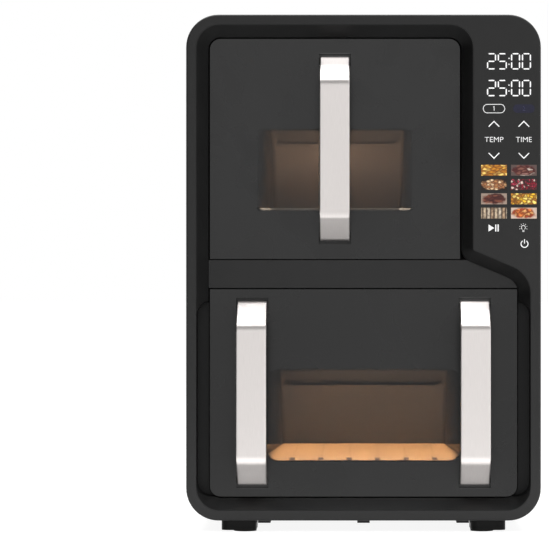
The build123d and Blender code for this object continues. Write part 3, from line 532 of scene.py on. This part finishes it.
# %% Lamps in the bays
warm = (1.0, 0.46, 0.16)
dusky = (1.0, 0.60, 0.36)
neutral = (1.0, 0.95, 0.92)
plate_watts = {"upper": 1.0, "lower": 2.4}
wall_watts = {"upper": 0.165, "lower": 0.115}
fill_watts = 0.26
rear_drop = {"upper": 0.014, "lower": 0.028}
plate_wash_rise = 0.05
plate_wash_share = 0.86
plate_wash_spread = 20
wall_wash_reach = 0.08
wall_wash_drop = 0.006
wall_wash_height = 0.012
wall_wash_spread = 80
fill_gap = 0.006
fill_spread = 180


def glowing_lens():
    """Lens glass that glows, its warmth uneven in patches."""
    made, tree, shader, place = new_material("lit_lens", Roughness=0.3, Emission_Strength=4.0)
    shader.inputs["Base Color"].default_value = (0.9, 0.8, 0.65, 1)
    film = use_group(tree, smudges, place, Size=120.0)["Film"]
    tree.links.new(shades(tree, film, (1.0, 0.72, 0.42), (1.0, 0.6, 0.28)), shader.inputs["Emission Color"])
    return made


def bay_light(name, place, target, width, height, watts, colour, spread):
    """Soft light inside a bay that no mirror or pane of glass shows."""
    lamp = soft_box(name, place, target, width, height, watts, colour, spread)
    lamp.visible_glossy = False
    lamp.visible_transmission = False


backwards = Vector((0, 1, 0))
lit_lens = glowing_lens()
for bay in ("upper", "lower"):
    nodes[bay + "_lamp_lens"].data.materials[0] = lit_lens
    plate_low, plate_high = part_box(bay + "_crisper_plate")
    rear_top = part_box(bay + "_basket")[1].z - rear_drop[bay]
    glass_low, glass_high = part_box(bay + "_inner_glass")
    middle = (plate_low + plate_high) / 2
    plate_size = plate_high - plate_low
    above = Vector((middle.x, middle.y, plate_high.z + plate_wash_rise))
    bay_light(bay + "_plate_wash", above, above - Vector((0, 0.0001, 1)), plate_size.x * plate_wash_share,
              plate_size.y, plate_watts[bay], warm, plate_wash_spread)
    before_wall = Vector((middle.x, plate_high.y - wall_wash_reach, rear_top - wall_wash_drop))
    wall_head = Vector((middle.x, plate_high.y, rear_top))
    bay_light(bay + "_wall_wash", before_wall, wall_head, plate_size.x, wall_wash_height, wall_watts[bay],
              dusky, wall_wash_spread)
    inside = Vector((middle.x, glass_high.y + fill_gap, (glass_low.z + glass_high.z) / 2))
    window_size = glass_high - glass_low
    bay_light(bay + "_fill", inside, inside + backwards, window_size.x, window_size.z, fill_watts, neutral,
              fill_spread)
print("three soft lights in each bay")

# %% [markdown]
# The upper plate lies above the eye, so only the raised lip along its front edge shows, as a thin line at
# the foot of the window. One box is the whole form. Its coat is painted far paler than the plate's own, a
# painted highlight for the lamp light that the thin edge catches. The lamp catches it most at its ends,
# so a slit of warm light stands in front of each end and a weak one between them. A glowing finish
# would still glow when the plate is lifted out.

# %% Lip of the upper plate
lip_height = 0.0030
lip_depth = 0.0015
lip_half = 0.0628
lit_end = 0.0525
lip_light_gap = 0.0015
end_watts = 0.00030
middle_watts = 0.00042
lip_tint = (1.0, 0.82, 0.65)
lip_spread = 90


def box_mesh(name, low, high):
    """Closed box between two corners."""
    work = bmesh.new()
    bmesh.ops.create_cube(work, size=1.0)
    for vertex in work.verts:
        vertex.co = [low[i] + (vertex.co[i] + 0.5) * (high[i] - low[i]) for i in range(3)]
    mesh = bpy.data.meshes.new(name)
    work.to_mesh(mesh)
    work.free()
    return mesh


plate_low, plate_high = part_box("upper_crisper_plate")
lip_middle = (plate_low.x + plate_high.x) / 2
lip_mesh = box_mesh("upper_plate_lip", (lip_middle - lip_half, plate_low.y, plate_high.z),
                    (lip_middle + lip_half, plate_low.y + lip_depth, plate_high.z + lip_height))
# Painted highlight: the lip's coat is much paler than the plate's, standing in for lamp light on the edge.
lip_mesh.materials.append(moulded("lip_painted_highlight", grey(0.47, warmth), grey(0.55, warmth), (0.36, 0.5),
                                  coat_grain, cloud=26.0, depth=0.00002))
lip = bpy.data.objects.new("upper_plate_lip", lip_mesh)
scene.collection.objects.link(lip)
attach(lip, "upper_plate")
end_length = lip_half - lit_end
end_middle = (lip_half + lit_end) / 2
slits = (
    (-end_middle, end_length, end_watts),
    (0, 2 * lit_end, middle_watts),
    (end_middle, end_length, end_watts),
)
for offset, length, watts in slits:
    before_lip = Vector((lip_middle + offset, plate_low.y - lip_light_gap, plate_high.z + lip_height / 2))
    bay_light("lip_light", before_lip, before_lip + backwards, length, lip_height, watts, lip_tint,
              lip_spread)
print("lip", round(2 * lip_half, 4), "m long")

# %% [markdown]
# The touch strip has no keys: its marks are printed on the plastic or lit from behind it. Each mark is a
# film a few hundredths of a millimetre thick on the face of the strip, cut from flat outlines. Drawing
# them as a texture would need a picture file, and outlines stay sharp in any view.

# %% Marks: finishes
def lit(name, dim, bright, glow):
    """Finish of a mark that is lit from behind, a little uneven as a diffuser is."""
    made, tree, shader, place = new_material(name, Roughness=0.45, Specular_IOR_Level=0.22,
                                             Emission_Strength=glow)
    effect = use_group(tree, moulded_grain, place, Grain=1200.0, Cloud=260.0)
    tone = shades(tree, effect["Cloud"], dim, bright)
    tree.links.new(tone, shader.inputs["Base Color"])
    tree.links.new(tone, shader.inputs["Emission Color"])
    return made


digit_light = lit("digit_light", grey(0.62), grey(0.72), 0.75)
white_print = lit("white_print", grey(0.66), grey(0.76), 0.40)
blue_print = lit("blue_print", (0.018, 0.018, 0.05), (0.026, 0.026, 0.065), 0.3)
blue_haze = lit("blue_haze", (0.009, 0.009, 0.022), (0.013, 0.013, 0.030), 0.3)

# %% [markdown]
# Most marks are strokes: a chevron, a ring, a ray. A stroke is a path with a width, so one function turns
# a path into outlines with mitred corners. Others make arcs, pills and rectangles, and the last one gives
# a set of outlines the thickness of ink.

# %% Marks: tools
ink = 0.00006
weld = 1e-6
left_column = 0.1044
right_column = 0.1283


def stroke(path, width, closed=False):
    """Four-sided outlines along a path of (x, z) points, mitred where the path turns."""
    points = [Vector(p) for p in path]
    count = len(points)
    sides = []
    for index, point in enumerate(points):
        before = points[index - 1] if index or closed else None
        after = points[(index + 1) % count] if index < count - 1 or closed else None
        runs = []
        if before is not None:
            runs.append((point - before).normalized())
        if after is not None:
            runs.append((after - point).normalized())
        along = sum(runs, Vector((0, 0))).normalized()
        across = Vector((-along.y, along.x)) * (width / 2 / along.dot(runs[0]))
        sides.append((point + across, point - across))
    last = count if closed else count - 1
    pairs = [(sides[i], sides[(i + 1) % count]) for i in range(last)]
    return [(a[0], b[0], b[1], a[1]) for a, b in pairs]


def arc(centre, radius, start, end, steps=24):
    """Points of an arc between two angles in degrees, counted from the right and upwards."""
    turns = [math.radians(start + (end - start) * i / steps) for i in range(steps + 1)]
    return [(centre[0] + radius * math.cos(t), centre[1] + radius * math.sin(t)) for t in turns]


def pill(centre, width, height):
    """Closed path of a bar with round ends."""
    reach = (width - height) / 2
    right = arc((centre[0] + reach, centre[1]), height / 2, -90, 90)
    return right + arc((centre[0] - reach, centre[1]), height / 2, 90, 270)


def rectangle(centre, width, height):
    """Outline of an upright rectangle round a centre."""
    left, right = centre[0] - width / 2, centre[0] + width / 2
    bottom, top = centre[1] - height / 2, centre[1] + height / 2
    return [(left, bottom), (right, bottom), (right, top), (left, top)]


def on_strip(name, mesh, material):
    """Makes a mesh a piece of the body with the given finish."""
    mesh.materials.clear()
    mesh.materials.append(material)
    piece = bpy.data.objects.new(name, mesh)
    scene.collection.objects.link(piece)
    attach(piece, "body")
    return piece


def inked(name, work, material):
    """Piece on the strip from flat faces, turned to the front and given the thickness of ink."""
    for face in work.faces:
        if face.normal.y > 0:
            face.normal_flip()
    bmesh.ops.solidify(work, geom=list(work.faces), thickness=ink)
    mesh = bpy.data.meshes.new(name)
    work.to_mesh(mesh)
    work.free()
    return on_strip(name, mesh, material)


def mark(name, outlines, material):
    """Film of ink on the face of the strip, from outlines in x and z."""
    work = bmesh.new()
    for outline in outlines:
        work.faces.new([work.verts.new((x, rim_y - ink, z)) for x, z in outline])
    bmesh.ops.remove_doubles(work, verts=work.verts, dist=weld)
    bmesh.ops.recalc_face_normals(work, faces=work.faces)
    return inked(name, work, material)


# %% [markdown]
# The two rows of digits are made of one lit segment, repeated. Geometry Nodes puts a copy of the segment
# on every point of a list, turned by an attribute of the point, so a digit is only a choice of points.

# %% Digits
digit_width = 0.0073
digit_height = 0.0131
segment_width = 0.00098
segment_length = 0.0050
digit_lefts = (0.0988, 0.1074, 0.1180, 0.1267)
row_bottoms = (0.3700, 0.3486)
colon_x = 0.1164
shown = ("abged", "afgcd", "abcdef", "abcdef")
dot = 0.0009
dot_heights = (0.32, 0.68)
edge = segment_width / 2
upper_z = digit_height * 0.75 - edge / 2
lower_z = digit_height * 0.25 + edge / 2
segment_places = {
    "a": (digit_width / 2, digit_height - edge, 0),
    "b": (digit_width - edge, upper_z, 90),
    "c": (digit_width - edge, lower_z, 90),
    "d": (digit_width / 2, edge, 0),
    "e": (edge, lower_z, 90),
    "f": (edge, upper_z, 90),
    "g": (digit_width / 2, digit_height / 2, 0),
}


def segment_tree():
    """Geometry Nodes tree that puts a segment on each point, turned about the viewing direction."""
    tree = bpy.data.node_groups.new("lit_segments", "GeometryNodeTree")
    sockets = {"Points": "NodeSocketGeometry", "Segment": "NodeSocketObject", "Finish": "NodeSocketMaterial"}
    for label, kind in sockets.items():
        tree.interface.new_socket(label, in_out="INPUT", socket_type=kind)
    tree.interface.new_socket("Digits", in_out="OUTPUT", socket_type="NodeSocketGeometry")
    given = add_node(tree, "NodeGroupInput").outputs
    turn = add_node(tree, "GeometryNodeInputNamedAttribute", {"Name": "turn"}, data_type="FLOAT")
    turned = add_node(tree, "ShaderNodeCombineXYZ", {"Y": turn.outputs["Attribute"]})
    shape = add_node(tree, "GeometryNodeObjectInfo", {"Object": given["Segment"]})
    copies = add_node(tree, "GeometryNodeInstanceOnPoints", {
        "Points": given["Points"], "Instance": shape.outputs["Geometry"], "Rotation": turned.outputs[0]})
    real = add_node(tree, "GeometryNodeRealizeInstances", {"Geometry": copies.outputs[0]})
    painted = add_node(tree, "GeometryNodeSetMaterial",
                       {"Geometry": real.outputs[0], "Material": given["Finish"]})
    add_node(tree, "NodeGroupOutput", {"Digits": painted.outputs[0]})
    return tree


def set_inputs(modifier, values):
    """Sets a Geometry Nodes modifier's inputs, found by name and set by identifier."""
    for item in modifier.node_group.interface.items_tree:
        if item.in_out == "INPUT" and item.name in values:
            modifier[item.identifier] = values[item.name]


def made_real(piece):
    """The plain mesh that an object's modifiers make."""
    bpy.context.view_layer.update()
    evaluated = piece.evaluated_get(bpy.context.evaluated_depsgraph_get())
    return bpy.data.meshes.new_from_object(evaluated)


half = segment_length / 2
tip = half - edge
outline = [(-half, 0), (-tip, -edge), (tip, -edge), (half, 0), (tip, edge), (-tip, edge)]
segment = mark("segment", [outline], digit_light)
for vertex in segment.data.vertices:
    vertex.co.y -= rim_y
points = []
turns = []
for bottom in row_bottoms:
    for left, letters in zip(digit_lefts, shown):
        for letter in letters:
            x, z, turn = segment_places[letter]
            points.append((left + x, rim_y, bottom + z))
            turns.append(math.radians(turn))
point_mesh = bpy.data.meshes.new("digit_points")
point_mesh.from_pydata(points, [], [])
point_mesh.attributes.new("turn", "FLOAT", "POINT").data.foreach_set("value", turns)
point_object = bpy.data.objects.new("digit_points", point_mesh)
scene.collection.objects.link(point_object)
modifier = point_object.modifiers.new("digits", "NODES")
modifier.node_group = segment_tree()
set_inputs(modifier, {"Segment": segment, "Finish": digit_light})
digits_mesh = made_real(point_object)
bpy.data.objects.remove(point_object)
bpy.data.objects.remove(segment)
on_strip("lit_digits", digits_mesh, digit_light)
dots = []
for bottom in row_bottoms:
    for share in dot_heights:
        dots.append(rectangle((colon_x, bottom + digit_height * share), dot, dot))
mark("colon_dots", dots, digit_light)
print("digits:", len(points), "segments,", len(digits_mesh.polygons), "faces")

# %% [markdown]
# The pads under the digits are two zone numbers in pills, arrows above and below two plain words, and
# three small symbols. The words and one number are text made into a mesh, drawn in a little to thin the
# letters, and scaled to the size of the print.

# %% Numbers and words
letter_thinning = -0.008
pill_z = 0.3387
word_z = 0.3140
word_height = 0.0040
pill_width = 0.0172
pill_height = 0.0068
ring_stroke = 0.0005
number_stroke = 0.00045
number_width = 0.0024
number_height = 0.0034


def word(name, text, centre, width, height, material, height_of_face=ink):
    """Text as a film of ink, scaled to a width and a height round a centre."""
    curve = bpy.data.curves.new(name, "FONT")
    curve.body = text
    curve.offset = letter_thinning
    curve.resolution_u = 4
    helper = bpy.data.objects.new(name + "_text", curve)
    scene.collection.objects.link(helper)
    flat = made_real(helper)
    bpy.data.objects.remove(helper)
    xs = [v.co.x for v in flat.vertices]
    ys = [v.co.y for v in flat.vertices]
    scale_x = width / (max(xs) - min(xs))
    scale_z = height / (max(ys) - min(ys))
    work = bmesh.new()
    work.from_mesh(flat)
    bmesh.ops.remove_doubles(work, verts=work.verts, dist=weld)
    for vertex in work.verts:
        x = centre[0] + (vertex.co.x - (max(xs) + min(xs)) / 2) * scale_x
        z = centre[1] + (vertex.co.y - (max(ys) + min(ys)) / 2) * scale_z
        vertex.co = (x, rim_y - height_of_face, z)
    work.normal_update()
    return inked(name, work, material)


ring = pill((left_column, pill_z), pill_width, pill_height)
mark("zone_ring_1", stroke(ring, ring_stroke, closed=True), white_print)
mark("zone_field_2", [pill((right_column, pill_z), pill_width, pill_height)], blue_haze)
stem_x = left_column + 0.0001
stem_top = pill_z + number_height / 2
number_one = [(left_column - 0.0006, pill_z + 0.0012), (stem_x, stem_top), (stem_x, stem_top - number_height)]
mark("zone_number_1", stroke(number_one, number_stroke), white_print)
word("zone_number_2", "2", (right_column, pill_z), number_width, number_height, blue_print, 2 * ink)
word("word_temp", "TEMP", (left_column, word_z), 0.0150, word_height, white_print)
word("word_time", "TIME", (right_column, word_z), 0.0128, word_height, white_print)

# %% [markdown]
# The symbols are the common ones for up and down, start, lamp and power. They are drawn from strokes and
# arcs in a few lines each.

# %% Symbols
chevron_width = 0.0084
chevron_height = 0.0042
chevron_stroke = 0.00085
chevron_rows = ((0.3264, 1), (0.3011, -1))
chevrons = []
for x in (left_column, right_column):
    for middle, rise in chevron_rows:
        tail = middle - rise * chevron_height / 2
        peak = middle + rise * chevron_height / 2
        path = [(x - chevron_width / 2, tail), (x, peak), (x + chevron_width / 2, tail)]
        chevrons += stroke(path, chevron_stroke)
mark("chevrons", chevrons, white_print)

symbol_z = 0.2432
start_left = left_column - 0.0044
arrow_length = 0.0046
bar_offsets = (0.0058, 0.0077)
bar_width = 0.0010
foot = symbol_z - 0.0028
head = symbol_z + 0.0028
start = [[(start_left, foot), (start_left + arrow_length, symbol_z), (start_left, head)]]
for offset in bar_offsets:
    start += stroke([(start_left + offset, foot), (start_left + offset, head)], bar_width)
mark("start_symbol", start, white_print)

bulb = Vector((right_column - 0.0004, symbol_z + 0.0004))
bulb_radius = 0.0016
bulb_stroke = 0.0004
base_half = 0.0008
base_drops = (0.0024, 0.0032)
ray_angles = (-20, 20, 55, 90, 125, 160, 200)
ray_start = 0.0026
ray_end = 0.0034
ray_stroke = 0.00035
lamp_lines = stroke(arc(bulb, bulb_radius, -60, 240), bulb_stroke)
for drop in base_drops:
    z = bulb.y - drop
    lamp_lines += stroke([(bulb.x - base_half, z), (bulb.x + base_half, z)], bulb_stroke)
for angle in ray_angles:
    direction = Vector((math.cos(math.radians(angle)), math.sin(math.radians(angle))))
    lamp_lines += stroke([bulb + direction * ray_start, bulb + direction * ray_end], ray_stroke)
mark("lamp_symbol", lamp_lines, white_print)

power = Vector((right_column + 0.0005, 0.2305))
power_radius = 0.0028
power_stroke = 0.00075
power_lines = stroke(arc(power, power_radius, 122, 418), power_stroke)
power_lines += stroke([(power.x, power.y + 0.0002), (power.x, power.y + 0.0037)], power_stroke)
mark("power_symbol", power_lines, white_print)

# %% [markdown]
# Eight small tiles stand for kinds of food. Each is a plain pattern in the colours of something baked or
# fried: grains, heaps or stripes. One node group gives a cell pattern with its own size, stretch and turn,
# a second one gathers the cells into a heap, and every tile has its own palette. Cells that aren't
# scattered stand in rows, and stretched ones then read as stripes.

# %% Food tiles
food_cells, given, result = new_group("food_cells", {
    "Size": 400.0, "Stretch": 1.0, "Turn": 0.0, "Scatter": 1.0, "Crispness": 4.0}, ["Cell", "Rim"])
spin = add_node(food_cells, "ShaderNodeCombineXYZ", {1: given["Turn"]})
squeeze = add_node(food_cells, "ShaderNodeCombineXYZ", {0: given["Stretch"], 1: 1.0, 2: 1.0})
laid = add_node(food_cells, "ShaderNodeMapping", {
    "Vector": given["Place"], "Rotation": spin.outputs[0], "Scale": squeeze.outputs[0]})
cell_inputs = {"Vector": laid.outputs[0], "Scale": given["Size"], "Randomness": given["Scatter"]}
cell = add_node(food_cells, "ShaderNodeTexVoronoi", cell_inputs)
rim = add_node(food_cells, "ShaderNodeTexVoronoi", cell_inputs, feature="DISTANCE_TO_EDGE")
picked = add_node(food_cells, "ShaderNodeSeparateColor", {0: cell.outputs["Color"]})
food_cells.links.new(picked.outputs[0], result["Cell"])
food_cells.links.new(between(food_cells, rim.outputs["Distance"], 0.0, given["Crispness"]), result["Rim"])

dish, given, result = new_group("dish", {
    "Centre X": 0.0, "Centre Z": 0.0, "Half Width": 0.0105, "Half Height": 0.0046}, ["Inside", "Shade"])
dish_place = add_node(dish, "ShaderNodeSeparateXYZ", {0: given["Place"]}).outputs


def share_of(axis, centre, half):
    """Distance from the dish's centre along an axis, as a share of its half size."""
    away = calculate(dish, "SUBTRACT", dish_place[axis], given[centre])
    return calculate(dish, "DIVIDE", away, given[half])


across = share_of("X", "Centre X", "Half Width")
upright = share_of("Z", "Centre Z", "Half Height")
wobble = calculate(dish, "MULTIPLY", noise(dish, given["Place"], 260.0, 2.0), 0.7)
outside = calculate(dish, "ADD", calculate(dish, "SQRT", sum_of_squares(dish, across, upright)), wobble)
heaped = add_node(dish, "ShaderNodeMapRange", {
    "Value": outside, "From Min": 1.15, "From Max": 1.35, "To Min": 1.0, "To Max": 0.0})
dish.links.new(heaped.outputs[0], result["Inside"])
mottle = add_node(dish, "ShaderNodeMapRange", {
    "Value": noise(dish, given["Place"], 420.0, 3.0), "From Min": 0.35, "From Max": 0.6, "To Min": 0.35,
    "To Max": 1.0})
dish.links.new(mottle.outputs[0], result["Shade"])


def mixed(tree, factor, first, second):
    """Colour that goes from a fixed first one to a second one, which is a socket."""
    sockets = {0: factor, 6: (*first, 1), 7: second}
    return add_node(tree, "ShaderNodeMix", sockets, data_type="RGBA").outputs[2]


def tile_finish(name, centre, palette, rim_colour, size, stretch, turn, ground=None, scatter=1.0,
                crispness=4.0):
    """Satin print of a cell pattern, its palette picked cell by cell, whole or as a heap on a ground."""
    made, tree, shader, place = new_material(name, Roughness=0.4, Specular_IOR_Level=0.2,
                                             Emission_Strength=0.3)
    effect = use_group(tree, food_cells, place, Size=size, Stretch=stretch, Turn=math.radians(turn),
                       Scatter=scatter, Crispness=crispness)
    heap = use_group(tree, dish, place, Centre_X=centre[0], Centre_Z=centre[1])
    stops = [(i / len(palette), colour) for i, colour in enumerate(palette)]
    tone = ramp(tree, effect["Cell"], stops, "CONSTANT")
    tone = mixed(tree, calculate(tree, "MULTIPLY", effect["Rim"], heap["Shade"]), rim_colour, tone)
    if ground:
        tone = mixed(tree, heap["Inside"], ground, tone)
    tree.links.new(tone, shader.inputs["Base Color"])
    tree.links.new(tone, shader.inputs["Emission Color"])
    return made


gold = [(0.80, 0.42, 0.06), (0.92, 0.62, 0.16), (0.50, 0.20, 0.02)]
meat = [(0.20, 0.08, 0.06), (0.46, 0.24, 0.20), (0.66, 0.54, 0.46), (0.10, 0.03, 0.03)]
crust = [(0.62, 0.36, 0.16), (0.80, 0.60, 0.36), (0.40, 0.18, 0.07)]
berry = [(0.30, 0.01, 0.03), (0.55, 0.05, 0.10), (0.06, 0.02, 0.02), (0.72, 0.52, 0.46)]
roast = [(0.16, 0.05, 0.03), (0.34, 0.13, 0.08), (0.07, 0.02, 0.015)]
maize = [(0.85, 0.52, 0.04), (0.92, 0.70, 0.18), (0.45, 0.19, 0.02)]
toast = [(0.84, 0.66, 0.46), (0.72, 0.50, 0.32), (0.90, 0.76, 0.58)]
glaze = [(0.70, 0.20, 0.05), (0.50, 0.07, 0.03), (0.85, 0.45, 0.16)]
dark_board = (0.015, 0.008, 0.006)
slate = (0.09, 0.06, 0.055)
linen = (0.50, 0.38, 0.31)
clay = (0.28, 0.21, 0.17)
left_tiles = (
    ("gold", gold, (0.16, 0.05, 0.01), 520.0, 0.35, 28),
    ("crust", crust, (0.12, 0.04, 0.02), 560.0, 0.6, 0, dark_board),
    ("roast", roast, (0.04, 0.01, 0.01), 320.0, 0.45, -30, clay),
    ("toast", toast, (0.02, 0.008, 0.006), 59.0, 5.6, 0, None, 0.1, 1.6),
)
right_tiles = (
    ("meat", meat, (0.05, 0.01, 0.01), 420.0, 0.5, -20, slate),
    ("berry", berry, (0.03, 0.01, 0.01), 520.0, 1.0, 0),
    ("maize", maize, (0.14, 0.05, 0.01), 400.0, 0.8, 0),
    ("glaze", glaze, (0.16, 0.03, 0.01), 420.0, 0.7, 0, linen),
)
tile_width = 0.0206
tile_height = 0.0087
tile_pitch = 0.01143
first_tile_z = 0.2894
for index, row in enumerate(zip(left_tiles, right_tiles)):
    for x, (name, *pattern) in zip((left_column, right_column), row):
        centre = (x, first_tile_z - index * tile_pitch)
        outline = rectangle(centre, tile_width, tile_height)
        mark("tile_" + name, [outline], tile_finish("tile_" + name, centre, *pattern))
print("food tiles", len(left_tiles) + len(right_tiles))
